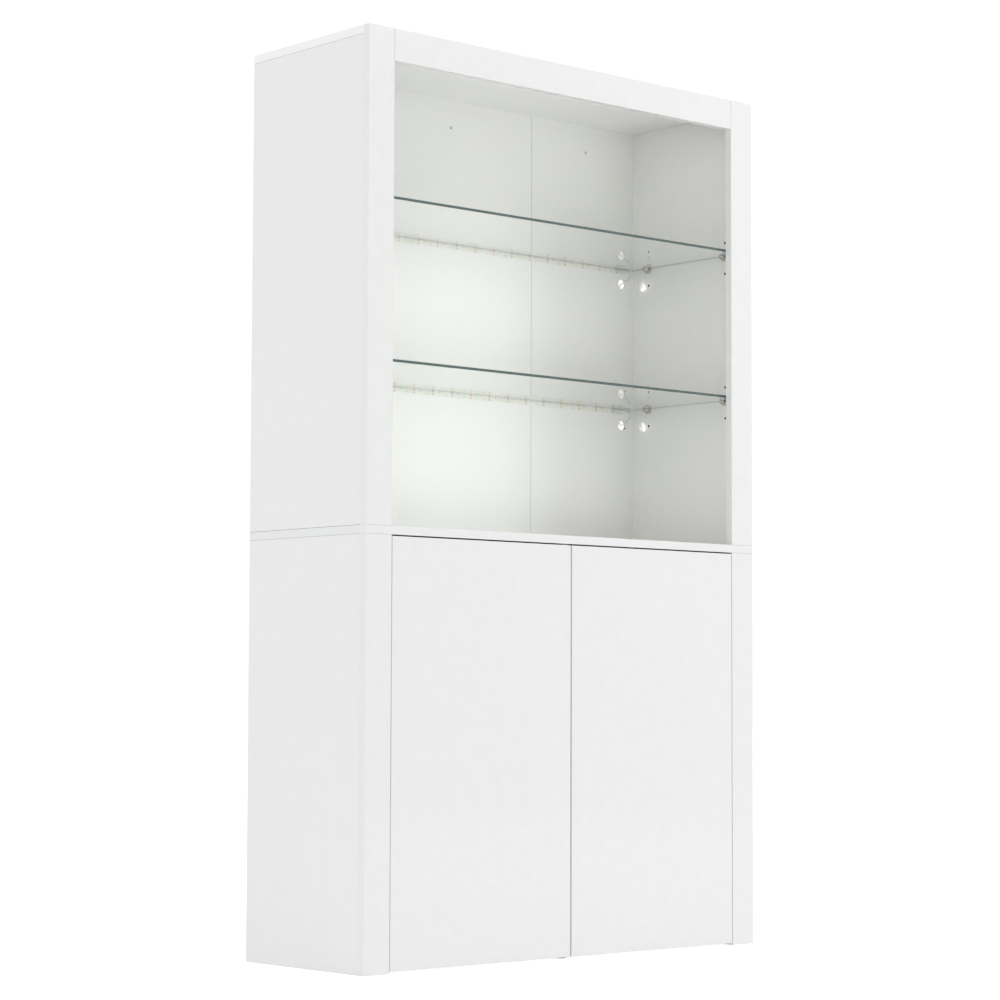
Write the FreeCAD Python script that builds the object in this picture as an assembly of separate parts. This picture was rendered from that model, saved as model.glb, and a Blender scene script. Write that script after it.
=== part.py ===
"""Curio cabinet: an open display module with glass shelves on a two-door cupboard module.

Millimetres. Origin on the floor at the centre of the cabinet's footprint.
+X is to the viewer's right, the doors face -Y, and +Z is up.
"""
import FreeCAD
import Part
import math
import os

Vector = FreeCAD.Vector

# Overall size
WIDTH = 1010.0
DEPTH = 350.0
HEIGHT = 1716.0
MODULE_JOINT_Z = 804.0

# Boards
BOARD = 16.0
POST_WIDTH = 60.0
RAIL_HEIGHT = 60.0
BOARD_EDGE = 0.5
BACK_THICKNESS = 3.0
BACK_FACE_Y = 157.0
GROOVE_DEPTH = 6.0
GROOVE_PLAY = 0.2
BACK_SEAM_X = 196.0
BACK_SEAM_GAP = 0.4
BACK_EDGE = 0.3
JOINT_STRIP_WIDTH = 30.0
JOINT_STRIP_THICKNESS = 4.0

# Planes worked out from the sizes above
OUTER_X = WIDTH / 2
INNER_X = OUTER_X - BOARD
POST_X = OUTER_X - POST_WIDTH
FRONT_Y = -DEPTH / 2
REAR_Y = DEPTH / 2
POST_REAR_Y = FRONT_Y + BOARD
BACK_REAR_Y = BACK_FACE_Y + BACK_THICKNESS
LOWER_TOP_Z = MODULE_JOINT_Z - BOARD
UPPER_TOP_Z = HEIGHT - BOARD

# Joinery
DOWEL_RADIUS = 4.0
SMALL_DOWEL_RADIUS = 3.0
DOWEL_IN_FACE = 11.0
DOWEL_IN_EDGE = 19.0
POST_DOWEL_IN_FACE = 10.0
MODULE_DOWEL_Y = (-100.0, 100.0)
POST_DOWEL_Z = (120.0, 400.0, 680.0, 950.0, 1250.0, 1550.0)
RAIL_DOWEL_Z = (HEIGHT - 16.0, HEIGHT - 44.0)
TOP_DOWEL_X = (-300.0, 0.0, 300.0)
BOTTOM_DOWEL_Y = (-60.0, 60.0)
PARTITION_DOWEL_Y = (-90.0, 90.0)
CAM_RADIUS = 7.5
CAM_HEIGHT = 12.5
CAM_SETBACK = 24.0
CAM_Y = (-120.0, 120.0)
CAM_BOLT_RADIUS = 3.0
CAM_BOLT_IN_CAM = 3.0
CAM_SLOT_LENGTH = 10.0
CAM_SLOT_WIDTH = 1.6
CAM_SLOT_DEPTH = 3.0
TOP_SCREW_Y = (-110.0, 0.0, 110.0)

# Plinth and cupboard
BOTTOM_Z = 8.0
FLOOR_PANEL_Z = BOTTOM_Z + BOARD
FRAME_FRONT_Y = POST_REAR_Y + 2.5
BATTEN_DEPTH = 64.0
CUPBOARD_SHELF_Z = 400.0
CUPBOARD_SHELF_FRONT_Y = -88.0
CUPBOARD_PEG_Z = CUPBOARD_SHELF_Z - 3.0

# Doors
DOOR_SIDE_GAP = 1.5
DOOR_BOTTOM_Z = 4.0
DOOR_TOP_Z = LOWER_TOP_Z - 2.5
DOOR_REAR_Y = FRONT_Y + BOARD
DOOR_INNER_X = 1.5
DOOR_OUTER_X = POST_X - DOOR_SIDE_GAP
DOOR_EDGE = 1.0

# Concealed hinges
HINGE_Z = (104.0, 684.0)
DOOR_AXIS_X = POST_X - DOOR_SIDE_GAP / 2
CUP_RADIUS = 17.5
CUP_DEPTH = 11.5
CUP_WALL = 1.0
CUP_SETBACK = 21.5
CUP_FLANGE = 0.8
CUP_WING_HALF_HEIGHT = 29.0
CUP_SCREW_SETBACK = 5.0
CUP_SCREW_PITCH = 45.0
LINK_WIDTH = 11.0
LINK_HALF_THICKNESS = 0.9
LINK_EYE_RADIUS = 2.2
LINK_PIN_RADIUS = 1.2
LINK_PIN_PLAY = 0.05
ARM_THICKNESS = 6.5
ARM_LENGTH = 50.0
ARM_SCREW_STEPS = (16.0, 34.0)
CHEEK_THICKNESS = 1.3
CHEEK_PLAY = 0.3
PLATE_THICKNESS = 1.5
PLATE_SCREW_PITCH = 32.0
PLATE_SCREW_Y = DOOR_REAR_Y + 37.0

# The link's eye, its two bends and its tip, measured from the door's axis towards the door and backwards
LINK_BENDS = ((1.74, 19.01), (10.45, 21.34), (30.77, 29.21), (33.94, 7.24))

# Push latches
LATCH_X = 14.5
LATCH_Z = 762.0
LATCH_TIP_GAP = 0.3
LATCH_Y = (-150.0, -84.0)
LATCH_HALF_HEIGHT = 6.5
LATCH_WING = 2.0
LATCH_WING_DROP = 10.0
LATCH_WING_INSET = 12.0
LATCH_BORE_DEPTH = 50.0
LATCH_SCREW_Y = (-130.0, -104.0)
STRIKE_RADIUS = 8.0
STRIKE_THICKNESS = 1.5
PLUNGER_RADIUS = 4.0
PLUNGER_PLAY = 0.1
PLUNGER_LENGTH = 45.0

# Shelf rows: glass, pegs and holes
GLASS_THICKNESS = 5.0
GLASS_FRONT_Y = -157.5
GLASS_REAR_Y = 154.0
GLASS_UNDERSIDE_Z = (1405.0, 1105.0)
GLASS_END_GAP = 1.0
GLASS_EDGE = 0.8
PEG_PITCH_Z = 32.0
PEG_ROWS_Y = (-115.0, 108.5)
PEG_RADIUS = 2.5
PEG_HOLE_DEPTH = 9.0
PARTITION_PEG_DEPTH = 6.0
CUPBOARD_PEG_ROWS_Y = (-60.0, 108.5)
SUPPORT_DROP = 4.0
SUPPORT_WIDTH = 18.0
SUPPORT_REACH = 15.0
SUPPORT_TABLE = 2.0
SUPPORT_WEB = 8.5
WEB_SETBACK = 2.5
PAD_THICKNESS = 1.0
CUPBOARD_PEG_LENGTH = 9.0

# LED strips
PAD_PITCH = 50.0
LED_TAPE_HEIGHT = 10.0
LED_TAPE_THICKNESS = 0.5
LED_TAPE_ABOVE_UNDERSIDE = 0.5
LED_SEGMENTS = 18
CHIPS_PER_SEGMENT = 3
LED_PITCH = PAD_PITCH / CHIPS_PER_SEGMENT
CHIP_WIDTH = 3.5
CHIP_HEIGHT = 2.8
CHIP_THICKNESS = 0.9
COPPER_WIDTH = 5.0
COPPER_HEIGHT = 2.6
COPPER_THICKNESS = 0.15
COPPER_FROM_EDGE = 2.3
LED_END_X = (441.0, 431.0)
SLEEVE_LENGTH = 24.0
SLEEVE_THICKNESS = 3.2
SLEEVE_EDGE = 1.2
CABLE_HOLE_X = 456.3
CABLE_HOLE_Z = (1374.0, 1071.4)
CABLE_HOLE_RADIUS = 10.0
LEAD_RADIUS = 1.2
LEAD_BEFORE_BACK = 1.6
LEAD_BEHIND_BACK = 6.5
LEAD_LOOP_X = 484.0
CLIP_X = (450.0, 462.0)
CLIP_Z = (1284.0, 1330.0, 1115.0, 1160.0)
CLIP_HEIGHT = 7.0
CLIP_DEPTH = 9.0

# LED driver behind the back panel
DRIVER_X = (385.0, 475.0)
DRIVER_Z = (1200.0, 1240.0)
DRIVER_THICKNESS = 13.0
DRIVER_EAR = 2.5
DRIVER_EAR_REACH = 8.0
DRIVER_EAR_INSET = 12.0
INLET_X = DRIVER_X[0] + 22.0
INLET_SIZE = (20.0, 9.2, 16.0)
INLET_WELL = (17.2, 6.8, 12.0)
INLET_PIN_PITCH = 8.6

# Nails of the lower back panels
NAIL_X = (60.0, 200.0, 340.0, 460.0)
NAIL_Z = (150.0, 320.0, 490.0, 660.0)
NAIL_HEAD_RADIUS = 2.2
NAIL_HEAD = 0.8
NAIL_RADIUS = 0.8
NAIL_LENGTH = 22.0

# Rail behind the back panel, and the screws that hold the back panel to it
REAR_RAIL_Z = 1625.0
RAIL_SCREW_X = (-350.0, -25.0, 350.0)
RAIL_SCREW_Z = 1643.0

# Floor glides
GLIDE_RADIUS = 10.0
GLIDE_X = (-461.0, 0.0, 461.0)
GLIDE_Y = (-145.0, 135.0)

X_AXIS = Vector(1, 0, 0)
Y_AXIS = Vector(0, 1, 0)
Z_AXIS = Vector(0, 0, 1)
SIDES = (("left", -1), ("right", 1))

nodes = {}


def span(a, b):
    return (min(a, b), max(a, b))


def box(x, y, z, edge=0.0):
    """A box between two x, two y and two z values, with its edges rounded by edge."""
    (x0, x1), (y0, y1), (z0, z1) = span(*x), span(*y), span(*z)
    solid = Part.makeBox(x1 - x0, y1 - y0, z1 - z0, Vector(x0, y0, z0))
    if edge:
        solid = solid.makeFillet(edge, solid.Edges)
    return solid


def board(x, y, z):
    return box(x, y, z, BOARD_EDGE)


def cylinder(radius, start, axis, length):
    return Part.makeCylinder(radius, length, Vector(*start), axis)


def cut(solid, tools):
    tools = list(tools)
    return solid.cut(Part.makeCompound(tools)) if tools else solid


def group(solids):
    return Part.makeCompound(list(solids))


def mirrored(solid, side):
    """The right-hand solid as it is, or its mirror image for the left."""
    return solid if side > 0 else solid.mirror(Vector(0, 0, 0), X_AXIS)


def extruded(outline, z, height):
    """A prism on a closed outline of (x, y) points, from z upwards."""
    points = [Vector(px, py, z) for px, py in outline]
    return Part.Face(Part.makePolygon(points + points[:1])).extrude(Vector(0, 0, height))


def screw(place, inwards, slotted, head_radius=3.5, length=14.0, shank_radius=1.6):
    """A countersunk wood screw, its head flush with the surface at place. A bore for it has no slot."""
    start = Vector(*place)
    inwards = Vector(*inwards)
    head_depth = head_radius - shank_radius
    head = Part.makeCone(head_radius, shank_radius, head_depth, start, inwards)
    shank = Part.makeCylinder(shank_radius, length - head_depth, start + inwards * head_depth, inwards)
    solid = head.fuse(shank)
    if slotted:
        side = X_AXIS if abs(inwards.x) < 0.5 else Y_AXIS
        across = inwards.cross(side)
        depth = inwards * (head_depth * 0.7)
        solid = solid.cut(slot(start, side, across, head_radius, depth))
        solid = solid.cut(slot(start, across, side, head_radius, depth))
    return solid


def slot(centre, along, over, head_radius, depth):
    """One arm of a screw's cross slot."""
    half_length = along * (head_radius * 0.55)
    half_width = over * (head_radius * 0.11)
    points = [
        centre - half_length - half_width,
        centre + half_length - half_width,
        centre + half_length + half_width,
        centre - half_length + half_width,
    ]
    return Part.Face(Part.makePolygon(points + points[:1])).extrude(depth)


# Shelf peg holes --------------------------------------------------------------------------

def peg_holes(face_x, inwards, rows_y, centres_z, depth=PEG_HOLE_DEPTH):
    """Groups of three blind peg holes in each row, drilled from face_x into a panel."""
    return [
        cylinder(PEG_RADIUS, (face_x, row_y, centre + step * PEG_PITCH_Z), X_AXIS * inwards, depth)
        for row_y in rows_y
        for centre in centres_z
        for step in (-1, 0, 1)
    ]


def display_peg_z():
    return [z - SUPPORT_DROP for z in GLASS_UNDERSIDE_Z]


def partition_peg_holes():
    holes = []
    for _, side in SIDES:
        holes += peg_holes(side * BOARD / 2, -side, CUPBOARD_PEG_ROWS_Y, [CUPBOARD_PEG_Z],
                           PARTITION_PEG_DEPTH)
    return holes


# Joinery: dowels, cams and their bores ----------------------------------------------------

def module_dowels():
    """Upright dowels that keep the display module on the cupboard module."""
    return [
        cylinder(DOWEL_RADIUS, (side * (OUTER_X - BOARD / 2), y, MODULE_JOINT_Z - DOWEL_IN_FACE), Z_AXIS,
                 DOWEL_IN_FACE + DOWEL_IN_EDGE)
        for _, side in SIDES
        for y in MODULE_DOWEL_Y
    ]


def post_dowels():
    """Dowels from the posts back into the front edges of the side panels."""
    return [
        cylinder(SMALL_DOWEL_RADIUS, (side * (OUTER_X - BOARD / 2), POST_REAR_Y - POST_DOWEL_IN_FACE, z),
                 Y_AXIS, POST_DOWEL_IN_FACE + DOWEL_IN_EDGE)
        for _, side in SIDES
        for z in POST_DOWEL_Z
    ]


def rail_dowels():
    """Dowels between the top rail and the posts, and from the rail back into the top panel."""
    rail_y = (FRONT_Y + POST_REAR_Y) / 2
    ends = [
        cylinder(SMALL_DOWEL_RADIUS, (side * POST_X - DOWEL_IN_EDGE, rail_y, z), X_AXIS, 2 * DOWEL_IN_EDGE)
        for _, side in SIDES
        for z in RAIL_DOWEL_Z
    ]
    rear = [
        cylinder(SMALL_DOWEL_RADIUS, (x, POST_REAR_Y - POST_DOWEL_IN_FACE, HEIGHT - BOARD / 2), Y_AXIS,
                 POST_DOWEL_IN_FACE + DOWEL_IN_EDGE)
        for x in TOP_DOWEL_X
    ]
    return ends + rear


def bottom_dowels():
    """Dowels from the lower sides into the ends of the bottom panel."""
    z = BOTTOM_Z + BOARD / 2
    return [
        cylinder(DOWEL_RADIUS, (side * (INNER_X + DOWEL_IN_FACE), y, z), X_AXIS * -side,
                 DOWEL_IN_FACE + DOWEL_IN_EDGE)
        for _, side in SIDES
        for y in BOTTOM_DOWEL_Y
    ]


def partition_dowels():
    """Dowels into the lower and upper ends of the partition."""
    starts = (FLOOR_PANEL_Z - DOWEL_IN_FACE, LOWER_TOP_Z - DOWEL_IN_EDGE)
    return [
        cylinder(DOWEL_RADIUS, (0, y, z), Z_AXIS, DOWEL_IN_FACE + DOWEL_IN_EDGE)
        for y in PARTITION_DOWEL_Y
        for z in starts
    ]


def cams():
    """Cam locks in the underside of the bottom panel."""
    return [
        cylinder(CAM_RADIUS, (side * (INNER_X - CAM_SETBACK), y, BOTTOM_Z), Z_AXIS, CAM_HEIGHT)
        for _, side in SIDES
        for y in CAM_Y
    ]


def cam_bolts():
    """Bolts from the lower sides into the cam locks."""
    z = BOTTOM_Z + BOARD / 2
    return [
        cylinder(CAM_BOLT_RADIUS, (side * (INNER_X + DOWEL_IN_FACE), y, z), X_AXIS * -side,
                 DOWEL_IN_FACE + CAM_SETBACK - CAM_RADIUS + CAM_BOLT_IN_CAM)
        for _, side in SIDES
        for y in CAM_Y
    ]


def cam_slots():
    """Cross slots in the cam locks for the screwdriver."""
    half_length = CAM_SLOT_LENGTH / 2
    half_width = CAM_SLOT_WIDTH / 2
    z = (BOTTOM_Z, BOTTOM_Z + CAM_SLOT_DEPTH)
    slots = []
    for _, side in SIDES:
        x = side * (INNER_X - CAM_SETBACK)
        for y in CAM_Y:
            slots.append(box((x - half_length, x + half_length), (y - half_width, y + half_width), z))
            slots.append(box((x - half_width, x + half_width), (y - half_length, y + half_length), z))
    return slots


def joinery_bores():
    return module_dowels() + post_dowels() + rail_dowels() + bottom_dowels() + partition_dowels()


def top_screws(surface_z, slotted=False):
    """Screws down through a top panel into the side panels below it."""
    return [
        screw((side * (OUTER_X - BOARD / 2), y, surface_z), (0, 0, -1), slotted,
              head_radius=4.5, length=45.0, shank_radius=2.5)
        for _, side in SIDES
        for y in TOP_SCREW_Y
    ]


# Upper module -----------------------------------------------------------------------------

def back_groove(side, z):
    """The groove in a side panel that holds the edge of the back panel."""
    x = (side * (INNER_X + GROOVE_DEPTH + GROOVE_PLAY), side * INNER_X)
    return box(x, (BACK_FACE_Y, BACK_REAR_Y + GROOVE_PLAY), z)


def make_upper_sides(bores):
    for name, side in SIDES:
        panel = board((side * INNER_X, side * OUTER_X), (POST_REAR_Y, REAR_Y), (MODULE_JOINT_Z, UPPER_TOP_Z))
        groove = back_groove(side, (MODULE_JOINT_Z, UPPER_TOP_Z))
        holes = peg_holes(side * INNER_X, side, PEG_ROWS_Y, display_peg_z())
        nodes["upper_side_" + name] = cut(panel, [groove] + holes + bores + top_screws(HEIGHT))


def make_upper_front(bores):
    for name, side in SIDES:
        post = board((side * POST_X, side * OUTER_X), (FRONT_Y, POST_REAR_Y), (MODULE_JOINT_Z, HEIGHT))
        nodes["upper_post_" + name] = cut(post, bores)
    rail = board((-POST_X, POST_X), (FRONT_Y, POST_REAR_Y), (HEIGHT - RAIL_HEIGHT, HEIGHT))
    nodes["upper_rail"] = cut(rail, bores)
    top = board((-OUTER_X, OUTER_X), (POST_REAR_Y, REAR_Y), (UPPER_TOP_Z, HEIGHT))
    nodes["upper_top"] = cut(top, bores + top_screws(HEIGHT))


def cable_holes():
    return [
        cylinder(CABLE_HOLE_RADIUS, (CABLE_HOLE_X, BACK_FACE_Y, z), Y_AXIS, BACK_THICKNESS)
        for z in CABLE_HOLE_Z
    ]


def rail_screws(slotted=False):
    """Screws from inside the cabinet through the back panel into the rear rail."""
    return [screw((x, BACK_FACE_Y, RAIL_SCREW_Z), (0, 1, 0), slotted) for x in RAIL_SCREW_X]


def make_upper_back():
    edges_x = (-INNER_X - GROOVE_DEPTH, -BACK_SEAM_X, BACK_SEAM_X, INNER_X + GROOVE_DEPTH)
    names = ("left", "centre", "right")
    for name, x0, x1 in zip(names, edges_x, edges_x[1:]):
        x = (x0 + BACK_SEAM_GAP / 2, x1 - BACK_SEAM_GAP / 2)
        sheet = box(x, (BACK_FACE_Y, BACK_REAR_Y), (MODULE_JOINT_Z, UPPER_TOP_Z), BACK_EDGE)
        nodes["upper_back_" + name] = cut(sheet, cable_holes() + rail_screws() + driver_screws())
    strips = [
        board((x - JOINT_STRIP_WIDTH / 2, x + JOINT_STRIP_WIDTH / 2),
              (BACK_REAR_Y, BACK_REAR_Y + JOINT_STRIP_THICKNESS), (MODULE_JOINT_Z, REAR_RAIL_Z))
        for x in (-BACK_SEAM_X, BACK_SEAM_X)
    ]
    nodes["back_joint_strips"] = group(strips)
    rail = board((-INNER_X, INNER_X), (BACK_REAR_Y, REAR_Y), (REAR_RAIL_Z, UPPER_TOP_Z))
    nodes["rear_rail"] = cut(rail, rail_screws())


def make_glass():
    x = (-INNER_X + GLASS_END_GAP, INNER_X - GLASS_END_GAP)
    for name, z in zip(("upper", "lower"), GLASS_UNDERSIDE_Z):
        pane = box(x, (GLASS_FRONT_Y, GLASS_REAR_Y), (z, z + GLASS_THICKNESS), GLASS_EDGE)
        nodes["glass_shelf_" + name] = pane


def shelf_support(row_y, glass_z):
    """A spade shelf support on the right-hand side: peg, round-nosed table and sloping web."""
    top_z = glass_z - PAD_THICKNESS
    nose = SUPPORT_WIDTH / 2
    straight = SUPPORT_REACH - nose
    table = box((INNER_X - straight, INNER_X), (row_y - nose, row_y + nose), (top_z - SUPPORT_TABLE, top_z))
    round_nose = cylinder(nose, (INNER_X - straight, row_y, top_z - SUPPORT_TABLE), Z_AXIS, SUPPORT_TABLE)
    round_nose = round_nose.common(box((0, INNER_X - straight), (row_y - nose, row_y + nose), (0, top_z)))
    web_half_width = nose * 0.7
    corners = [
        Vector(INNER_X, row_y - web_half_width, top_z - SUPPORT_TABLE),
        Vector(INNER_X - SUPPORT_REACH + WEB_SETBACK, row_y - web_half_width, top_z - SUPPORT_TABLE),
        Vector(INNER_X, row_y - web_half_width, top_z - SUPPORT_WEB),
    ]
    web = Part.Face(Part.makePolygon(corners + corners[:1])).extrude(Vector(0, 2 * web_half_width, 0))
    peg = cylinder(PEG_RADIUS, (INNER_X - 1, row_y, glass_z - SUPPORT_DROP), X_AXIS, PEG_HOLE_DEPTH)
    return table.fuse([round_nose, web, peg]).removeSplitter()


def support_pad(row_y, glass_z):
    x = INNER_X - SUPPORT_REACH * 0.55
    return cylinder(SUPPORT_WIDTH * 0.3, (x, row_y, glass_z - PAD_THICKNESS), Z_AXIS, PAD_THICKNESS)


def make_glass_supports():
    places = [(side, y, z) for _, side in SIDES for y in PEG_ROWS_Y for z in GLASS_UNDERSIDE_Z]
    nodes["glass_shelf_supports"] = group(mirrored(shelf_support(y, z), side) for side, y, z in places)
    nodes["support_pads"] = group(mirrored(support_pad(y, z), side) for side, y, z in places)


# Lights -----------------------------------------------------------------------------------

def tape_z(glass_z):
    high_z = glass_z + LED_TAPE_ABOVE_UNDERSIDE
    return (high_z - LED_TAPE_HEIGHT, high_z)


def plate_on(face_y, x, z, width, height, thickness):
    """A small plate that lies on a front-facing plane, centred on x and z."""
    return box((x - width / 2, x + width / 2), (face_y - thickness, face_y), (z - height / 2, z + height / 2))


def make_led_strips():
    chips = []
    pads = []
    sleeves = []
    front_y = BACK_FACE_Y - LED_TAPE_THICKNESS
    for name, glass_z, end_x in zip(("upper", "lower"), GLASS_UNDERSIDE_Z, LED_END_X):
        low_z, high_z = tape_z(glass_z)
        middle_z = (low_z + high_z) / 2
        start_x = end_x - LED_SEGMENTS * PAD_PITCH
        nodes["led_strip_" + name] = box((start_x, end_x), (front_y, BACK_FACE_Y), (low_z, high_z))
        for index in range(LED_SEGMENTS * CHIPS_PER_SEGMENT):
            x = start_x + LED_PITCH * (index + 0.5)
            chips.append(plate_on(front_y, x, middle_z, CHIP_WIDTH, CHIP_HEIGHT, CHIP_THICKNESS))
        for index in range(LED_SEGMENTS + 1):
            x = start_x + PAD_PITCH * index
            x = min(max(x, start_x + COPPER_WIDTH / 2), end_x - COPPER_WIDTH / 2)
            for z in (low_z + COPPER_FROM_EDGE, high_z - COPPER_FROM_EDGE):
                pads.append(plate_on(front_y, x, z, COPPER_WIDTH, COPPER_HEIGHT, COPPER_THICKNESS))
        sleeve = box((end_x, end_x + SLEEVE_LENGTH), (BACK_FACE_Y - SLEEVE_THICKNESS, BACK_FACE_Y),
                     (low_z + 0.5, high_z - 0.5), SLEEVE_EDGE)
        sleeves.append(sleeve)
    nodes["led_chips"] = group(chips)
    nodes["led_copper_pads"] = group(pads)
    nodes["led_strip_sleeves"] = group(sleeves)


def rounded_path(points):
    """Straight runs joined by tangent arcs, each as large as its two runs allow."""
    points = [Vector(*point) for point in points]
    edges = []
    radii = []
    last = points[0]
    for before, corner, after in zip(points, points[1:], points[2:]):
        inwards = (corner - before).normalize()
        outwards = (after - corner).normalize()
        half_turn = inwards.getAngle(outwards) / 2
        setback = 0.45 * min((corner - before).Length, (after - corner).Length)
        radii.append(setback / math.tan(half_turn))
        start = corner - inwards * setback
        end = corner + outwards * setback
        to_centre = (outwards - inwards).normalize()
        middle = corner + to_centre * (radii[-1] / math.cos(half_turn) - radii[-1])
        edges.append(Part.LineSegment(last, start).toShape())
        edges.append(Part.Arc(start, middle, end).toShape())
        last = end
    edges.append(Part.LineSegment(last, points[-1]).toShape())
    return Part.Wire(edges), radii


def tube_along(points, radius, name):
    path, radii = rounded_path(points)
    start = Vector(*points[0])
    direction = (Vector(*points[1]) - start).normalize()
    section = Part.Wire([Part.makeCircle(radius, start, direction)])
    tube = path.makePipeShell([section], True, False)
    print(name, "length %.0f" % path.Length, "radii", [round(value, 1) for value in radii],
          "volume ratio %.3f" % (tube.Volume / (math.pi * radius ** 2 * path.Length)))
    return tube


def lead_route(glass_z, end_x, hole_z, port_z):
    """From the sleeve's end, round and down to the cable hole, through it and on to the driver."""
    exit_x = end_x + SLEEVE_LENGTH
    exit_z = sum(tape_z(glass_z)) / 2
    front_y = BACK_FACE_Y - LEAD_BEFORE_BACK
    rear_y = BACK_REAR_Y + LEAD_BEHIND_BACK
    run = port_z - hole_z
    front = [
        (exit_x, front_y, exit_z),
        ((exit_x + LEAD_LOOP_X) / 2 - 1.0, front_y, exit_z),
        (LEAD_LOOP_X, front_y, exit_z - 6.0),
        (LEAD_LOOP_X - 7.0, front_y, exit_z - 15.5),
        (460.0, front_y, hole_z + 2.0),
    ]
    rear = [
        (459.0, rear_y, hole_z),
        (457.0, rear_y, hole_z + run * 0.25),
        (455.5, rear_y, hole_z + run * 0.55),
        (456.5, rear_y, hole_z + run * 0.8),
        (455.0, rear_y, port_z),
    ]
    return front + rear


def make_leads():
    ports = (DRIVER_Z[1], DRIVER_Z[0])
    names = ("upper", "lower")
    for name, glass_z, end_x, hole_z, port_z in zip(names, GLASS_UNDERSIDE_Z, LED_END_X, CABLE_HOLE_Z, ports):
        route = lead_route(glass_z, end_x, hole_z, port_z)
        nodes["led_lead_" + name] = tube_along(route, LEAD_RADIUS, "led_lead_" + name)
    clips = group(
        board(CLIP_X, (BACK_REAR_Y, BACK_REAR_Y + CLIP_DEPTH), (z - CLIP_HEIGHT / 2, z + CLIP_HEIGHT / 2))
        for z in CLIP_Z
    )
    nodes["lead_clips"] = clips.cut([nodes["led_lead_" + name] for name in names])


def driver_screws(slotted=False):
    """Screws through the driver's ears into the back panel."""
    middle_z = (DRIVER_Z[0] + DRIVER_Z[1]) / 2
    return [
        screw((x, BACK_REAR_Y + DRIVER_EAR, middle_z), (0, -1, 0), slotted,
              head_radius=3.0, length=5.0, shank_radius=1.2)
        for x in (DRIVER_X[0] - DRIVER_EAR_REACH, DRIVER_X[1] + DRIVER_EAR_REACH)
    ]


def make_driver():
    """The driver's case with its two ears, and a mains inlet with two pins in its lower end."""
    y = (BACK_REAR_Y, BACK_REAR_Y + DRIVER_THICKNESS)
    low_z, high_z = DRIVER_Z
    case = box(DRIVER_X, y, DRIVER_Z, 2.0)
    reach = DRIVER_EAR_REACH + 5.0
    ears = board((DRIVER_X[0] - reach, DRIVER_X[1] + reach), (BACK_REAR_Y, BACK_REAR_Y + DRIVER_EAR),
                 (low_z + DRIVER_EAR_INSET, high_z - DRIVER_EAR_INSET))
    inlet_y = sum(y) / 2

    def inlet_box(size):
        width, depth, height = size
        return box((INLET_X - width / 2, INLET_X + width / 2), (inlet_y - depth / 2, inlet_y + depth / 2),
                   (low_z, low_z + height))

    inlet = inlet_box(INLET_SIZE)
    pins = [
        cylinder(1.2, (INLET_X + step * INLET_PIN_PITCH / 2, inlet_y, low_z + 3), Z_AXIS, 10)
        for step in (-1, 1)
    ]
    nodes["led_driver"] = cut(case.fuse(ears), [inlet] + driver_screws())
    nodes["driver_mains_inlet"] = inlet.cut(inlet_box(INLET_WELL)).fuse(pins)


# Lower module -----------------------------------------------------------------------------

def make_lower_frame(bores):
    for name, side in SIDES:
        panel = board((side * INNER_X, side * OUTER_X), (POST_REAR_Y, REAR_Y), (0, LOWER_TOP_Z))
        groove = back_groove(side, (0, LOWER_TOP_Z))
        holes = peg_holes(side * INNER_X, side, CUPBOARD_PEG_ROWS_Y, [CUPBOARD_PEG_Z])
        tools = [groove] + holes + bores + top_screws(MODULE_JOINT_Z) + cam_bolts()
        nodes["lower_side_" + name] = cut(panel, tools)
        post = board((side * POST_X, side * OUTER_X), (FRONT_Y, POST_REAR_Y), (0, LOWER_TOP_Z))
        nodes["lower_post_" + name] = cut(post, bores)
        batten = board((side * POST_X, side * INNER_X), (POST_REAR_Y, POST_REAR_Y + BATTEN_DEPTH),
                       (FLOOR_PANEL_Z, LOWER_TOP_Z))
        nodes["hinge_batten_" + name] = cut(batten, plate_screws())
    top = board((-OUTER_X, OUTER_X), (FRONT_Y, REAR_Y), (LOWER_TOP_Z, MODULE_JOINT_Z))
    nodes["lower_top"] = cut(top, bores + top_screws(MODULE_JOINT_Z))
    bottom = board((-INNER_X, INNER_X), (FRAME_FRONT_Y, BACK_FACE_Y), (BOTTOM_Z, FLOOR_PANEL_Z))
    nodes["lower_bottom"] = cut(bottom, bores + cams() + cam_bolts() + back_nails())
    partition = board((-BOARD / 2, BOARD / 2), (FRAME_FRONT_Y, BACK_FACE_Y), (FLOOR_PANEL_Z, LOWER_TOP_Z))
    nodes["lower_partition"] = cut(partition, bores + partition_peg_holes() + back_nails() + latch_screws())


def back_nails():
    """Nails through the lower back panels into the bottom panel and the partition."""
    below = [(side * x, BOTTOM_Z + BOARD / 2) for _, side in SIDES for x in NAIL_X]
    middle = [(side * BOARD / 4, z) for _, side in SIDES for z in NAIL_Z]
    nails = []
    for x, z in below + middle:
        head = cylinder(NAIL_HEAD_RADIUS, (x, BACK_REAR_Y, z), Y_AXIS, NAIL_HEAD)
        nails.append(head.fuse(cylinder(NAIL_RADIUS, (x, BACK_REAR_Y, z), -Y_AXIS, NAIL_LENGTH)))
    return nails


def make_lower_back():
    for name, side in SIDES:
        x = (side * BACK_SEAM_GAP / 2, side * (INNER_X + GROOVE_DEPTH - BACK_SEAM_GAP / 2))
        panel = box(x, (BACK_FACE_Y, BACK_REAR_Y), (BOTTOM_Z, LOWER_TOP_Z), BACK_EDGE)
        nodes["lower_back_" + name] = cut(panel, back_nails())
    nodes["back_panel_nails"] = group(back_nails())


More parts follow.
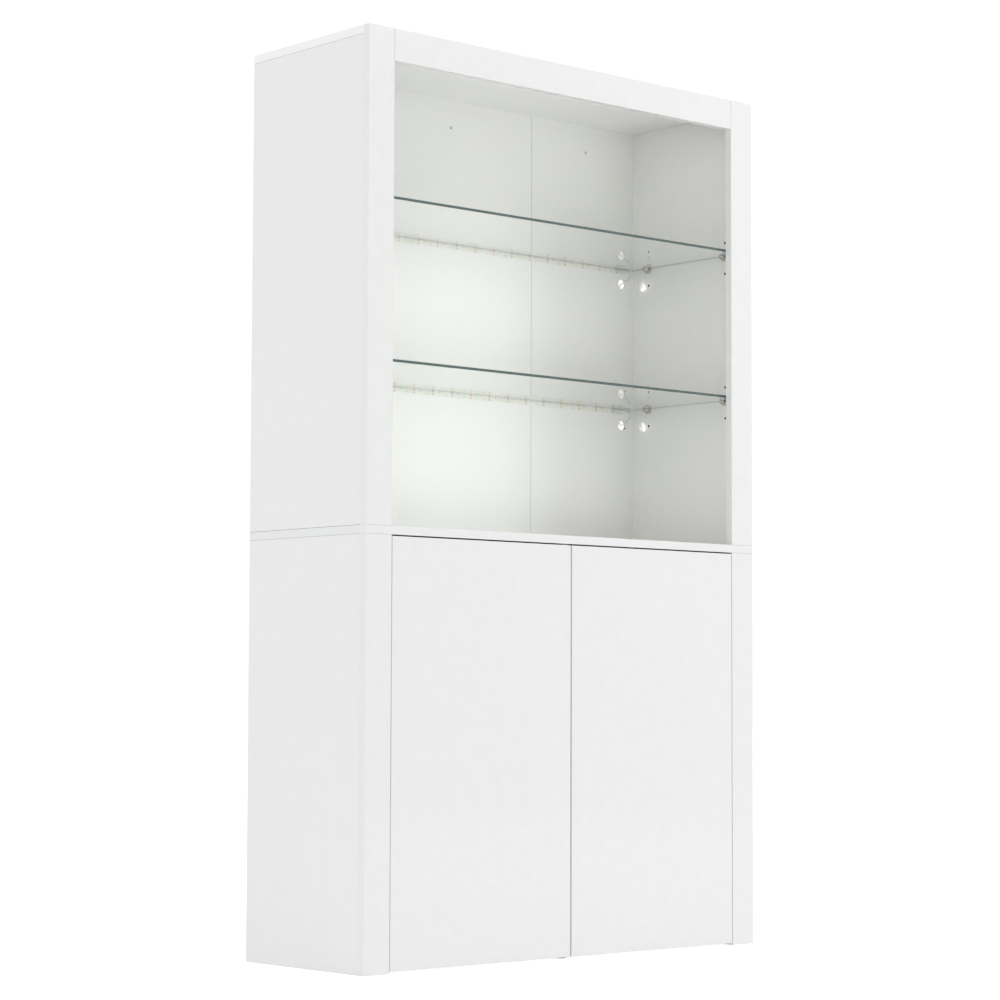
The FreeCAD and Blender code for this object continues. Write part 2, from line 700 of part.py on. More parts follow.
def cupboard_peg(face_x, outwards, row_y):
    """A shelf peg: a pin in the panel and a thicker pin under the shelf."""
    inside = cylinder(PEG_RADIUS, (face_x, row_y, CUPBOARD_PEG_Z), X_AXIS * -outwards, PARTITION_PEG_DEPTH)
    outside = cylinder(PEG_RADIUS + 0.5, (face_x, row_y, CUPBOARD_PEG_Z), X_AXIS * outwards,
                       CUPBOARD_PEG_LENGTH)
    return inside.fuse(outside)


def make_cupboard_shelves():
    pegs = []
    for name, side in SIDES:
        x = (side * (BOARD / 2 + 1), side * (INNER_X - 1))
        nodes["cupboard_shelf_" + name] = board(x, (CUPBOARD_SHELF_FRONT_Y, BACK_FACE_Y - 2),
                                               (CUPBOARD_SHELF_Z, CUPBOARD_SHELF_Z + BOARD))
        for row_y in CUPBOARD_PEG_ROWS_Y:
            pegs.append(cupboard_peg(side * BOARD / 2, side, row_y))
            pegs.append(cupboard_peg(side * INNER_X, -side, row_y))
    nodes["cupboard_shelf_pegs"] = group(pegs)


def make_glides():
    glides = []
    for x in GLIDE_X:
        for y in GLIDE_Y:
            glide = cylinder(GLIDE_RADIUS, (x, y, 0), Z_AXIS, BOTTOM_Z)
            glides.append(glide.makeFillet(1.5, [edge for edge in glide.Edges if edge.BoundBox.ZMax < 0.1]))
    nodes["floor_glides"] = group(glides)


def make_fixings():
    """Cam locks, bolts, dowels and screws, each in its own bore."""
    nodes["cam_locks"] = group(cut(cam, cam_slots() + cam_bolts()) for cam in cams())
    nodes["cam_bolts"] = group(cam_bolts())
    nodes["dowels"] = group(joinery_bores())
    nodes["top_panel_screws"] = group(top_screws(HEIGHT, True) + top_screws(MODULE_JOINT_Z, True))
    nodes["back_rail_screws"] = group(rail_screws(True))
    nodes["small_screws"] = group(driver_screws(True) + plate_screws(True) + latch_screws(True))


# Doors ------------------------------------------------------------------------------------

def cup_centre_x():
    return DOOR_OUTER_X - CUP_SETBACK


def cup_screws(slotted=False):
    """The screws of the right door's two hinge cups."""
    x = cup_centre_x() - CUP_SCREW_SETBACK
    y = DOOR_REAR_Y + CUP_FLANGE
    return [
        screw((x, y, z + step * CUP_SCREW_PITCH / 2), (0, -1, 0), slotted, head_radius=3.4, length=11.0)
        for z in HINGE_Z
        for step in (-1, 1)
    ]


def hinge_cup(z):
    """A pressed cup with its screw flange, let into the rear of the right door."""
    x = cup_centre_x()
    start = (x, DOOR_REAR_Y, z)
    wing = box((x - 11, x + 5), (DOOR_REAR_Y, DOOR_REAR_Y + CUP_FLANGE),
               (z - CUP_WING_HALF_HEIGHT, z + CUP_WING_HALF_HEIGHT))
    corners = [edge for edge in wing.Edges if abs(edge.BoundBox.YLength - CUP_FLANGE) < 0.01]
    wing = wing.makeFillet(5.0, corners)
    ring = cylinder(CUP_RADIUS + 1.0, start, Y_AXIS, CUP_FLANGE)
    bowl = cylinder(CUP_RADIUS, start, -Y_AXIS, CUP_DEPTH)
    hollow = cylinder(CUP_RADIUS - CUP_WALL, (x, DOOR_REAR_Y + CUP_FLANGE, z), -Y_AXIS,
                      CUP_DEPTH - CUP_WALL + CUP_FLANGE)
    return bowl.fuse([wing, ring]).cut(hollow).removeSplitter()


def strike_screw(slotted=False):
    return screw((LATCH_X, DOOR_REAR_Y + STRIKE_THICKNESS, LATCH_Z), (0, -1, 0), slotted,
                 head_radius=3.0, length=10.0)


def make_doors():
    panel = box((DOOR_INNER_X, DOOR_OUTER_X), (FRONT_Y, DOOR_REAR_Y), (DOOR_BOTTOM_Z, DOOR_TOP_Z), DOOR_EDGE)
    bores = [cylinder(CUP_RADIUS, (cup_centre_x(), DOOR_REAR_Y, z), -Y_AXIS, CUP_DEPTH) for z in HINGE_Z]
    panel = cut(panel, bores + cup_screws() + [strike_screw()])
    cups = [cut(hinge_cup(z), cup_screws()) for z in HINGE_Z]
    strike = cylinder(STRIKE_RADIUS, (LATCH_X, DOOR_REAR_Y, LATCH_Z), Y_AXIS, STRIKE_THICKNESS)
    strike = strike.cut(strike_screw())
    for name, side in SIDES:
        nodes[name + "_door_panel"] = mirrored(panel, side)
        nodes[name + "_hinge_cups"] = mirrored(group(cups + cup_screws(True)), side)
        nodes[name + "_strike_plate"] = mirrored(group([strike, strike_screw(True)]), side)


# Hinges -----------------------------------------------------------------------------------

def hinge_point(inwards, backwards):
    """A point near the right door's axis, from its distances towards the door and backwards."""
    return (DOOR_AXIS_X - inwards, FRONT_Y + backwards)


def bar(start, end, half_thickness, z, height):
    """A flat bar with round ends between two (x, y) points."""
    run = Vector(end[0] - start[0], end[1] - start[1], 0)
    across = Z_AXIS.cross(run).normalize() * half_thickness
    outline = [
        (start[0] + across.x, start[1] + across.y),
        (end[0] + across.x, end[1] + across.y),
        (end[0] - across.x, end[1] - across.y),
        (start[0] - across.x, start[1] - across.y),
    ]
    ends = [cylinder(half_thickness, (point[0], point[1], z), Z_AXIS, height) for point in (start, end)]
    return extruded(outline, z, height).fuse(ends)


def hinge_link(z):
    """The bent link between the arm and the cup. Its tip is free inside the cup."""
    bends = [hinge_point(*bend) for bend in LINK_BENDS]
    low_z = z - LINK_WIDTH / 2
    bars = [bar(a, b, LINK_HALF_THICKNESS, low_z, LINK_WIDTH) for a, b in zip(bends, bends[1:])]
    eye = cylinder(LINK_EYE_RADIUS, (*bends[0], low_z), Z_AXIS, LINK_WIDTH)
    hole = cylinder(LINK_PIN_RADIUS + LINK_PIN_PLAY, (*bends[0], low_z), Z_AXIS, LINK_WIDTH)
    return bars[0].fuse(bars[1:] + [eye]).cut(hole).removeSplitter()


def hinge_arm(z):
    """The fixed arm: a block on the mounting plate, two cheeks and the pin that carries the link."""
    pin_x, pin_y = hinge_point(*LINK_BENDS[0])
    inner_z = LINK_WIDTH / 2 + CHEEK_PLAY
    face_x = POST_X - PLATE_THICKNESS
    outer_x = face_x - ARM_THICKNESS
    block = box((outer_x, face_x), (pin_y + 4.5, pin_y + ARM_LENGTH), (z - inner_z, z + inner_z), 1.0)
    parts = []
    for low_z in (z - inner_z - CHEEK_THICKNESS, z + inner_z):
        outline = [
            (pin_x + LINK_EYE_RADIUS, pin_y),
            (pin_x + LINK_EYE_RADIUS, pin_y + 7.0),
            (face_x, pin_y + 7.0),
            (face_x, pin_y + 30.0),
            (outer_x, pin_y + 24.0),
            (outer_x, pin_y + 6.0),
            (pin_x - LINK_EYE_RADIUS, pin_y),
        ]
        parts.append(extruded(outline, low_z, CHEEK_THICKNESS))
        parts.append(cylinder(LINK_EYE_RADIUS, (pin_x, pin_y, low_z), Z_AXIS, CHEEK_THICKNESS))
    reach = inner_z + CHEEK_THICKNESS
    parts.append(cylinder(LINK_PIN_RADIUS, (pin_x, pin_y, z - reach), Z_AXIS, 2 * reach))
    arm = block.fuse(parts).removeSplitter()
    return cut(arm, arm_screws(z))


def arm_screws(z, slotted=False):
    """The two adjusting screws on the arm."""
    pin_y = FRONT_Y + LINK_BENDS[0][1]
    top_x = POST_X - PLATE_THICKNESS - ARM_THICKNESS
    return [screw((top_x, pin_y + step, z), (1, 0, 0), slotted, head_radius=2.8, length=6.0)
            for step in ARM_SCREW_STEPS]


def plate_screws(slotted=False):
    """Screws through the mounting plates into the battens, on both sides."""
    x = POST_X - PLATE_THICKNESS
    screws = [
        screw((x, PLATE_SCREW_Y, z + step * PLATE_SCREW_PITCH / 2), (1, 0, 0), slotted,
              head_radius=3.4, length=15.0)
        for z in HINGE_Z
        for step in (-1, 1)
    ]
    return screws + [mirrored(item, -1) for item in screws]


def hinge_plate(z):
    """The mounting plate on the batten's inner face."""
    x = (POST_X - PLATE_THICKNESS, POST_X)
    plate = box(x, (PLATE_SCREW_Y - 26.0, PLATE_SCREW_Y + 14.0), (z - 8, z + 8))
    wing = box(x, (PLATE_SCREW_Y - 8.0, PLATE_SCREW_Y + 8.0), (z - 24, z + 24))
    corners = [edge for edge in wing.Edges if abs(edge.BoundBox.XLength - PLATE_THICKNESS) < 0.01]
    return cut(plate.fuse(wing.makeFillet(5.0, corners)).removeSplitter(), plate_screws())


def make_hinges():
    arms = []
    for z in HINGE_Z:
        arms.append(hinge_arm(z))
        arms.extend(arm_screws(z, True))
    plates = [hinge_plate(z) for z in HINGE_Z]
    links = [hinge_link(z) for z in HINGE_Z]
    nodes["hinge_arms"] = group(mirrored(item, side) for _, side in SIDES for item in arms)
    nodes["hinge_plates"] = group(mirrored(item, side) for _, side in SIDES for item in plates)
    for name, side in SIDES:
        nodes[name + "_hinge_links"] = mirrored(group(links), side)


# Push latches -----------------------------------------------------------------------------

def latch_screws(slotted=False):
    """Screws through the latch wings into the partition, on both sides."""
    x = BOARD / 2 + LATCH_WING
    z = LATCH_Z - LATCH_HALF_HEIGHT - LATCH_WING_DROP / 2
    screws = [screw((x, y, z), (-1, 0, 0), slotted, head_radius=3.0, length=8.0) for y in LATCH_SCREW_Y]
    return screws + [mirrored(item, -1) for item in screws]


def latch_housing():
    """The right compartment's latch body, bored for its plunger, with a screw wing below."""
    x = (BOARD / 2, 2 * LATCH_X - BOARD / 2)
    body = box(x, LATCH_Y, (LATCH_Z - LATCH_HALF_HEIGHT, LATCH_Z + LATCH_HALF_HEIGHT), 1.5)
    wing = board((BOARD / 2, BOARD / 2 + LATCH_WING),
                 (LATCH_Y[0] + LATCH_WING_INSET, LATCH_Y[1] - LATCH_WING_INSET),
                 (LATCH_Z - LATCH_HALF_HEIGHT - LATCH_WING_DROP, LATCH_Z))
    bore = cylinder(PLUNGER_RADIUS + PLUNGER_PLAY, (LATCH_X, LATCH_Y[0], LATCH_Z), Y_AXIS, LATCH_BORE_DEPTH)
    return cut(body.fuse(wing), [bore] + latch_screws())


def latch_plunger():
    """The sprung plunger behind the right door, with a domed magnet tip."""
    tip_y = DOOR_REAR_Y + STRIKE_THICKNESS + LATCH_TIP_GAP
    rod = cylinder(PLUNGER_RADIUS, (LATCH_X, tip_y, LATCH_Z), Y_AXIS, PLUNGER_LENGTH)
    return rod.makeFillet(1.0, [edge for edge in rod.Edges if edge.BoundBox.YMax < tip_y + 0.1])


def make_latches():
    nodes["latch_housings"] = group(mirrored(latch_housing(), side) for _, side in SIDES)
    for name, side in SIDES:
        nodes[name + "_latch_plunger"] = mirrored(latch_plunger(), side)


# Assemble ---------------------------------------------------------------------------------

def main():
    bores = joinery_bores()
    make_upper_sides(bores)
    make_upper_front(bores)
    make_upper_back()
    make_glass()
    make_glass_supports()
    make_led_strips()
    make_leads()
    make_driver()
    make_lower_frame(bores)
    make_lower_back()
    make_cupboard_shelves()
    make_glides()
    make_fixings()
    make_doors()
    make_hinges()
    make_latches()
    os.makedirs("parts", exist_ok=True)
    for name, shape in nodes.items():
        shape.exportStep("parts/" + name + ".step")


main()
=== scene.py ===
"""Looks of the curio cabinet: camera, studio, materials and the fine visible pieces, in metres."""

import math

import bmesh
import bpy
from mathutils import Matrix, Vector


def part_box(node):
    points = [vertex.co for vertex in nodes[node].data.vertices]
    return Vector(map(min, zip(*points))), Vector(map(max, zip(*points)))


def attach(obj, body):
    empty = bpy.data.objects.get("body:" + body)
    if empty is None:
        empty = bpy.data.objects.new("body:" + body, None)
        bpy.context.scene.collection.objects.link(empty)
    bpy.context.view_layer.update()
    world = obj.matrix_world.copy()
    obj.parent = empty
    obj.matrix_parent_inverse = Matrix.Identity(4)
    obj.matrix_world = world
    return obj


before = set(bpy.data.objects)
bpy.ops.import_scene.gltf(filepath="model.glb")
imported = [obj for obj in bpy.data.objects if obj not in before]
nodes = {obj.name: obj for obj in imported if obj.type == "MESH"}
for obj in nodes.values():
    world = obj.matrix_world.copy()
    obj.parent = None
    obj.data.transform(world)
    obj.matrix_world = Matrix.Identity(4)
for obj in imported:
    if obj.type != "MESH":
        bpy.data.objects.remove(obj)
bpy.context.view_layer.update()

# Camera --------------------------------------------------------------------------------------

CAMERA_PLACE = Vector((-3.5449, -3.9554, 0.4999))
CAMERA_YAW = math.radians(41.69)
CAMERA_PITCH = math.radians(3.85)
CAMERA_ROLL = math.radians(0.19)
CAMERA_LENS = 97.5
CAMERA_SENSOR = 36.0
CAMERA_SHIFT = (-0.0024, 0.0123)
CAMERA_REACH = 50.0


def make_camera():
    data = bpy.data.cameras.new("camera")
    data.sensor_width = CAMERA_SENSOR
    data.lens = CAMERA_LENS
    data.shift_x, data.shift_y = CAMERA_SHIFT
    data.clip_end = CAMERA_REACH
    camera = bpy.data.objects.new("camera", data)
    bpy.context.scene.collection.objects.link(camera)
    forward = Vector((
        math.sin(CAMERA_YAW) * math.cos(CAMERA_PITCH),
        math.cos(CAMERA_YAW) * math.cos(CAMERA_PITCH),
        math.sin(CAMERA_PITCH),
    ))
    upright = forward.to_track_quat("-Z", "Y").to_matrix().to_4x4()
    camera.matrix_world = Matrix.Translation(CAMERA_PLACE) @ upright @ Matrix.Rotation(CAMERA_ROLL, 4, "Z")
    bpy.context.scene.camera = camera


# Studio --------------------------------------------------------------------------------------

SKY_STRENGTH = 0.65
HORIZON_STRENGTH = 0.84
SKY_FULL_AT = 0.8
BACKDROP_STRENGTH = 1.05

FLOOR_HALF_WIDTH = 30.0
FLOOR_COLOUR = (0.82, 0.82, 0.83, 1.0)
FLOOR_ROUGHNESS = 0.9
FLOOR_GLOW = 0.29
FLOOR_WHITE = 0.7

OPAQUE_WHITE = (1.0, 1.0, 1.0, 1.0)
WHITE = (1.0, 1.0, 1.0)
COOL = (0.95, 0.975, 1.0)
WARM = (1.0, 1.0, 0.93)

# Each softbox: name, place, the point it faces, size, power and colour.
KEY = ("key", (3.2, -3.4, 4.2), (0.0, 0.0, 1.0), (2.4, 2.4), 80.0, WHITE)
FILL = ("fill", (-4.4, 0.9, 2.1), (-0.5, 0.0, 1.0), (2.4, 2.4), 17.0, COOL)
INSIDE_RIGHT = ("inside_right", (2.4, -2.6, 1.7), (-0.1, 0.1, 1.25), (1.6, 1.6), 6.5, WHITE)
INSIDE_LEFT = ("inside_left", (-3.4, -2.4, 1.7), (0.3, 0.0, 1.25), (1.6, 1.6), 18.5, WARM)
INSIDE_LOW = ("inside_low", (0.3, -2.2, 0.5), (0.1, 0.0, 1.5), (1.6, 1.0), 9.0, WHITE)
BRIGHT_WALL = ("bright_wall", (-2.9, 3.6, 1.9), (0.45, 0.16, 1.3), (2.4, 2.4), 110.0, WHITE)

RIM_POWER = 0.6
RIM_COLOUR = (1.0, 1.0, 0.95)
RIM_WIDTH = 0.01
RIM_HEIGHT_SHARE = 0.9
RIM_INSET = 0.02

OUTER_NODES = ("upper_post_left", "upper_post_right", "upper_rail", "lower_post_left", "lower_post_right",
               "left_door_panel", "right_door_panel", "lower_top", "upper_side_left", "lower_side_left",
               "upper_top")
RIGHT_SIDES = ("upper_side_right", "lower_side_right")


def make_world():
    """A white studio that differs a little between horizon and zenith, before a pure white backdrop."""
    world = bpy.data.worlds.new("studio")
    world.use_nodes = True
    tree = world.node_tree
    room = tree.nodes["Background"]
    room.inputs["Color"].default_value = OPAQUE_WHITE
    direction = tree.nodes.new("ShaderNodeTexCoord")
    split = tree.nodes.new("ShaderNodeSeparateXYZ")
    height = tree.nodes.new("ShaderNodeMapRange")
    height.inputs["From Max"].default_value = SKY_FULL_AT
    height.inputs["To Min"].default_value = HORIZON_STRENGTH
    height.inputs["To Max"].default_value = SKY_STRENGTH
    tree.links.new(direction.outputs["Generated"], split.inputs["Vector"])
    tree.links.new(split.outputs["Z"], height.inputs["Value"])
    tree.links.new(height.outputs["Result"], room.inputs["Strength"])
    backdrop = tree.nodes.new("ShaderNodeBackground")
    backdrop.inputs["Color"].default_value = OPAQUE_WHITE
    backdrop.inputs["Strength"].default_value = BACKDROP_STRENGTH
    rays = tree.nodes.new("ShaderNodeLightPath")
    mix = tree.nodes.new("ShaderNodeMixShader")
    tree.links.new(rays.outputs["Is Camera Ray"], mix.inputs["Fac"])
    tree.links.new(room.outputs["Background"], mix.inputs[1])
    tree.links.new(backdrop.outputs["Background"], mix.inputs[2])
    tree.links.new(mix.outputs["Shader"], tree.nodes["World Output"].inputs["Surface"])
    bpy.context.scene.world = world
    bpy.context.scene.view_settings.view_transform = "Standard"
    bpy.context.scene.view_settings.look = "None"


def area_light(name, place, target, size, power, colour):
    data = bpy.data.lights.new(name, "AREA")
    data.shape = "RECTANGLE"
    data.size, data.size_y = size
    data.energy = power
    data.color = colour
    light = bpy.data.objects.new(name, data)
    bpy.context.scene.collection.objects.link(light)
    light.location = place
    light.rotation_euler = (Vector(target) - Vector(place)).to_track_quat("-Z", "Y").to_euler()
    return light


def linked(light, names):
    """The light reaches only these nodes."""
    reached = bpy.data.collections.new(light.name + "_reach")
    for name in names:
        reached.objects.link(nodes[name])
    light.light_linking.receiver_collection = reached
    return reached


def light_inside():
    """Softboxes for the cabinet's inside. They leave the posts, the rail, the doors and the outer sides
    alone. Returns the collections that they reach."""
    inside = [name for name in nodes if name not in OUTER_NODES]
    inside_right = area_light(*INSIDE_RIGHT)
    inside_left = area_light(*INSIDE_LEFT)
    reaches = [
        linked(inside_right, [name for name in inside if name not in RIGHT_SIDES]),
        linked(inside_left, inside),
    ]
    inside_low = area_light(*INSIDE_LOW)
    reaches.append(linked(inside_low, inside + ["upper_top"]))
    return reaches


def light_right_side():
    """A bright wall behind the cable holes, whose reflections show on the right side panel, and a rim
    light on the right post's inner edge."""
    linked(area_light(*BRIGHT_WALL), ["upper_side_right"])
    post_low, post_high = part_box("upper_post_right")
    height = post_high.z - post_low.z
    middle_y = (post_low.y + post_high.y) / 2
    middle_z = (post_low.z + post_high.z) / 2
    rim = area_light("post_rim", (RIM_INSET - post_low.x, middle_y, middle_z), (1.0, middle_y, middle_z),
                     (height * RIM_HEIGHT_SHARE, RIM_WIDTH), RIM_POWER, RIM_COLOUR)
    rim.visible_camera = False
    rim.visible_glossy = False
    rim.visible_transmission = False
    linked(rim, ["upper_post_right"])


def make_floor():
    """A plain floor, white where the camera sees it."""
    mesh = bpy.data.meshes.new("floor")
    reach = FLOOR_HALF_WIDTH
    mesh.from_pydata([(-reach, -reach, 0), (reach, -reach, 0), (reach, reach, 0), (-reach, reach, 0)],
                     [], [(0, 1, 2, 3)])
    floor = bpy.data.objects.new("floor", mesh)
    bpy.context.scene.collection.objects.link(floor)
    material = bpy.data.materials.new("floor")
    material.use_nodes = True
    tree = material.node_tree
    shader = tree.nodes["Principled BSDF"]
    shader.inputs["Base Color"].default_value = FLOOR_COLOUR
    shader.inputs["Roughness"].default_value = FLOOR_ROUGHNESS
    shader.inputs["Emission Color"].default_value = OPAQUE_WHITE
    rays = tree.nodes.new("ShaderNodeLightPath")
    glow = tree.nodes.new("ShaderNodeMapRange")
    glow.inputs["To Min"].default_value = FLOOR_GLOW
    glow.inputs["To Max"].default_value = FLOOR_WHITE
    tree.links.new(rays.outputs["Is Camera Ray"], glow.inputs["Value"])
    tree.links.new(glow.outputs["Result"], shader.inputs["Emission Strength"])
    mesh.materials.append(material)


# Shader nodes --------------------------------------------------------------------------------

CLOUD_SHARE = 0.05
RELIEF_STRENGTH = 0.5
COAT_ROUGHNESS = 0.03
MIX_COLOUR_A = 6
MIX_COLOUR_B = 7
MIX_COLOUR_RESULT = 2


def new_material(name):
    material = bpy.data.materials.new(name)
    material.use_nodes = True
    tree = material.node_tree
    return material, tree, tree.nodes["Principled BSDF"]


def object_coordinates(tree, scale=(1.0, 1.0, 1.0)):
    source = tree.nodes.new("ShaderNodeTexCoord")
    mapping = tree.nodes.new("ShaderNodeMapping")
    mapping.inputs["Scale"].default_value = scale
    tree.links.new(source.outputs["Object"], mapping.inputs["Vector"])
    return mapping.outputs["Vector"]


def noise(tree, vector, scale, detail=3.0):
    node = tree.nodes.new("ShaderNodeTexNoise")
    node.inputs["Scale"].default_value = scale
    node.inputs["Detail"].default_value = detail
    tree.links.new(vector, node.inputs["Vector"])
    return node.outputs["Fac"]


def ramp(tree, factor, low, high, low_at=0.35, high_at=0.65):
    node = tree.nodes.new("ShaderNodeValToRGB")
    node.color_ramp.elements[0].position = low_at
    node.color_ramp.elements[1].position = high_at
    node.color_ramp.elements[0].color = (*low, 1.0)
    node.color_ramp.elements[1].color = (*high, 1.0)
    tree.links.new(factor, node.inputs["Fac"])
    return node.outputs["Color"]


def mapped(tree, factor, low, high):
    node = tree.nodes.new("ShaderNodeMapRange")
    node.inputs["To Min"].default_value = low
    node.inputs["To Max"].default_value = high
    tree.links.new(factor, node.inputs["Value"])
    return node.outputs["Result"]


def bump(tree, shader, height, strength, distance):
    node = tree.nodes.new("ShaderNodeBump")
    node.inputs["Strength"].default_value = strength
    node.inputs["Distance"].default_value = distance
    tree.links.new(height, node.inputs["Height"])
    tree.links.new(node.outputs["Normal"], shader.inputs["Normal"])


def position(tree, axis):
    """The object coordinate along one axis."""
    source = tree.nodes.new("ShaderNodeTexCoord")
    split = tree.nodes.new("ShaderNodeSeparateXYZ")
    tree.links.new(source.outputs["Object"], split.inputs["Vector"])
    return split.outputs[axis]


def calculated(tree, operation, a, b=None):
    node = tree.nodes.new("ShaderNodeMath")
    node.operation = operation
    for socket, value in zip(node.inputs, (a, b)):
        if isinstance(value, float):
            socket.default_value = value
        elif value is not None:
            tree.links.new(value, socket)
    return node.outputs["Value"]


def between(tree, value, low, high):
    """1 where value lies between low and high, else 0."""
    above = calculated(tree, "GREATER_THAN", value, low)
    below = calculated(tree, "LESS_THAN", value, high)
    return calculated(tree, "MULTIPLY", above, below)


def mixed(tree, factor, a, b):
    node = tree.nodes.new("ShaderNodeMix")
    node.data_type = "RGBA"
    tree.links.new(factor, node.inputs["Factor"])
    tree.links.new(a, node.inputs[MIX_COLOUR_A])
    tree.links.new(b, node.inputs[MIX_COLOUR_B])
    return node.outputs[MIX_COLOUR_RESULT]


def mixed_shader(tree, factor, a, b):
    node = tree.nodes.new("ShaderNodeMixShader")
    tree.links.new(factor, node.inputs["Fac"])
    tree.links.new(a, node.inputs[1])
    tree.links.new(b, node.inputs[2])
    return node.outputs["Shader"]


def surface(name, low, high, roughness, grain, relief, coat=0.0, metallic=0.0, stretch=(1.0, 1.0, 1.0)):
    """A shader with a faint colour variation, a roughness that varies with it, and a fine relief."""
    material, tree, shader = new_material(name)
    vector = object_coordinates(tree, stretch)
    cloud = noise(tree, vector, grain * CLOUD_SHARE)
    fine = noise(tree, vector, grain)
    tree.links.new(ramp(tree, cloud, low, high), shader.inputs["Base Color"])
    tree.links.new(mapped(tree, cloud, roughness[0], roughness[1]), shader.inputs["Roughness"])
    shader.inputs["Metallic"].default_value = metallic
    shader.inputs["Coat Weight"].default_value = coat
    shader.inputs["Coat Roughness"].default_value = COAT_ROUGHNESS
    bump(tree, shader, fine, RELIEF_STRENGTH, relief)
    return material


# Materials -----------------------------------------------------------------------------------

FINISH_SKIN = 0.0004
HOLE_EDGE_DISTANCE = 0.012
FINISHED_SHARE_OF_BACK = 0.3

GLASS_COLOUR = (0.995, 1.0, 0.998, 1.0)
GLASS_IOR = 1.52
GLASS_ROUGHNESS = (0.0, 0.012)
GLASS_EDGE_COLOUR = (0.06, 0.105, 0.10, 1.0)
GLASS_EDGE_ROUGHNESS = 0.15
GLASS_EDGE_TRANSMISSION = 0.25
GLASS_SHADOW_COLOUR = (0.86, 0.90, 0.875, 1.0)
PLASTIC_IOR = 1.45

WOOD_LIGHT_SHARE = 0.82
PINE = ((0.62, 0.50, 0.34), (0.76, 0.64, 0.46))
BEECH = ((0.60, 0.42, 0.25), (0.70, 0.52, 0.33))


def add_core_and_hole_shade(material, mask_of, low, high, grain):
    """Where mask_of(tree) is 1, the bare board under the finish shows: chips or fibres of wood, in the
    colours given; on the hole walls these colours are darkened into painted shade.
    """
    tree = material.node_tree
    shader = tree.nodes["Principled BSDF"]
    colour = shader.inputs["Base Color"].links[0].from_socket
    chips = ramp(tree, noise(tree, object_coordinates(tree), grain, 6.0), low, high)
    tree.links.new(mixed(tree, mask_of(tree), colour, chips), shader.inputs["Base Color"])


def hole_walls(tree):
    """The walls of the holes in a side panel: inside the board and away from its front and rear edges."""
    inner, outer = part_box("upper_side_right")
    x = calculated(tree, "ABSOLUTE", position(tree, "X"))
    y = position(tree, "Y")
    in_board = between(tree, x, inner.x + FINISH_SKIN, outer.x - FINISH_SKIN)
    in_depth = between(tree, y, inner.y + HOLE_EDGE_DISTANCE, outer.y - HOLE_EDGE_DISTANCE)
    return calculated(tree, "MULTIPLY", in_board, in_depth)


def back_reverse(tree):
    """The reverse of a back panel."""
    front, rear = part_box("upper_back_left")
    return calculated(tree, "GREATER_THAN", position(tree, "Y"),
                      front.y + (rear.y - front.y) * FINISHED_SHARE_OF_BACK)


def wood(name, colours, stretch):
    """Plain softwood or beech: long streaks of grain along one axis."""
    low, high = colours
    material = surface(name, low, high, (0.55, 0.7), 260.0, 0.0002, stretch=stretch)
    tree = material.node_tree
    streaks = noise(tree, object_coordinates(tree, stretch), 60.0, 8.0)
    dark = tuple(value * WOOD_LIGHT_SHARE for value in low)
    tree.links.new(ramp(tree, streaks, dark, high, 0.38, 0.62),
                   tree.nodes["Principled BSDF"].inputs["Base Color"])
    return material


def glass_material(name):
    """Clear float glass that lets light through to what lies behind it. Its edges look green, from the long
    way that the light takes in them."""
    material, tree, shader = new_material(name)
    low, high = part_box(name)
    shader.inputs["Base Color"].default_value = GLASS_COLOUR
    shader.inputs["Transmission Weight"].default_value = 1.0
    shader.inputs["IOR"].default_value = GLASS_IOR
    cloud = noise(tree, object_coordinates(tree), 30.0)
    tree.links.new(mapped(tree, cloud, *GLASS_ROUGHNESS), shader.inputs["Roughness"])
    edge = tree.nodes.new("ShaderNodeBsdfPrincipled")
    edge.inputs["Base Color"].default_value = GLASS_EDGE_COLOUR
    edge.inputs["Roughness"].default_value = GLASS_EDGE_ROUGHNESS
    edge.inputs["Transmission Weight"].default_value = GLASS_EDGE_TRANSMISSION
    y = position(tree, "Y")
    front = calculated(tree, "LESS_THAN", y, low.y + FINISH_SKIN)
    rear = calculated(tree, "GREATER_THAN", y, high.y - FINISH_SKIN)
    width = calculated(tree, "ABSOLUTE", position(tree, "X"))
    ends = calculated(tree, "GREATER_THAN", width, high.x - FINISH_SKIN)
    edges = calculated(tree, "MAXIMUM", calculated(tree, "MAXIMUM", front, rear), ends)
    glass = mixed_shader(tree, edges, shader.outputs["BSDF"], edge.outputs["BSDF"])
    rays = tree.nodes.new("ShaderNodeLightPath")
    clear = tree.nodes.new("ShaderNodeBsdfTransparent")
    clear.inputs["Color"].default_value = GLASS_SHADOW_COLOUR
    shown = mixed_shader(tree, rays.outputs["Is Shadow Ray"], glass, clear.outputs["BSDF"])
    tree.links.new(shown, tree.nodes["Material Output"].inputs["Surface"])
    return material


def clear_plastic(name, colour, transmission, roughness, grain):
    lighter = tuple(min(1.0, value * 1.04) for value in colour)
    material = surface(name, colour, lighter, roughness, grain, 0.00003)
    shader = material.node_tree.nodes["Principled BSDF"]
    shader.inputs["Transmission Weight"].default_value = transmission
    shader.inputs["IOR"].default_value = PLASTIC_IOR
    return material


def paint(material, *names):
    for name in names:
        slots = nodes[name].data.materials
        if not slots:
            slots.append(material)
        for index in range(len(slots)):
            slots[index] = material


def both(pattern):
    return [pattern % side for side in ("left", "right")]


